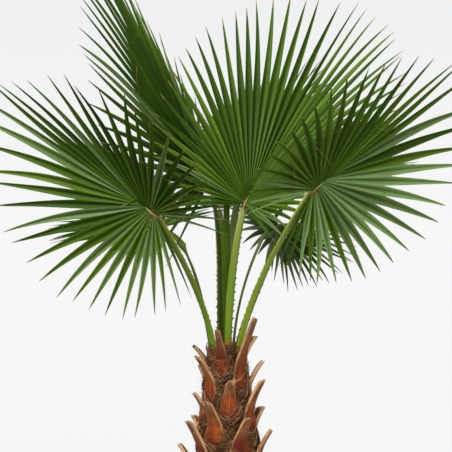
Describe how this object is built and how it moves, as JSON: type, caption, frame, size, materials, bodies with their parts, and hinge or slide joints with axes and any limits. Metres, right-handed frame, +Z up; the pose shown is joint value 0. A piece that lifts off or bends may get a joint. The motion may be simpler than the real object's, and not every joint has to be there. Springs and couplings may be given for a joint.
{
  "type": "potted fan palm",
  "caption": "Potted fan palm: a clay pot filled with soil, a short tapering trunk clad in cut leaf bases, and a round crown of pleated fan leaves on thorny green stalks",
  "frame": {"origin": "centre of the pot's flat underside, on the floor", "axes": "+Z up; the pictured side faces -Y, and +X is to the right in that view"},
  "size_m": [1.6391, 1.4165, 2.2772],
  "materials": {
    "clay": "matte fired clay",
    "earth": "damp soil",
    "fibre": "rough fibre matting",
    "husk": "dry leaf base",
    "stalk": "satin green stalk",
    "leaf": "satin leaf",
    "young_leaf": "satin leaf"
  },
  "bodies": {
    "root": {"pot": "clay", "soil": "earth", "trunk": "fibre", "boot_00": "husk", "boot_01": "husk", "boot_02": "husk", "boot_03": "husk", "boot_04": "husk", "boot_05": "husk", "boot_06": "husk", "boot_07": "husk", "boot_08": "husk", "boot_09": "husk", "boot_10": "husk", "boot_11": "husk", "boot_12": "husk", "boot_13": "husk", "boot_14": "husk", "boot_15": "husk", "boot_16": "husk", "boot_17": "husk", "boot_18": "husk", "boot_19": "husk", "boot_20": "husk", "boot_21": "husk", "boot_22": "husk", "boot_23": "husk", "boot_24": "husk", "boot_25": "husk", "boot_26": "husk", "boot_27": "husk", "boot_28": "husk", "stalk_centre": "stalk", "stalk_left": "stalk", "stalk_right": "stalk", "stalk_tall": "stalk", "stalk_low_right": "stalk", "stalk_low_left": "stalk", "stalk_back": "stalk", "stalk_back_left": "stalk", "stalk_back_right": "stalk", "fan_centre": "leaf", "fan_left": "leaf", "fan_right": "leaf", "fan_tall": "leaf", "fan_low_right": "leaf", "fan_low_left": "leaf", "fan_back": "leaf", "fan_back_left": "leaf", "fan_back_right": "leaf", "spear": "young_leaf"}
  },
  "joints": []
}
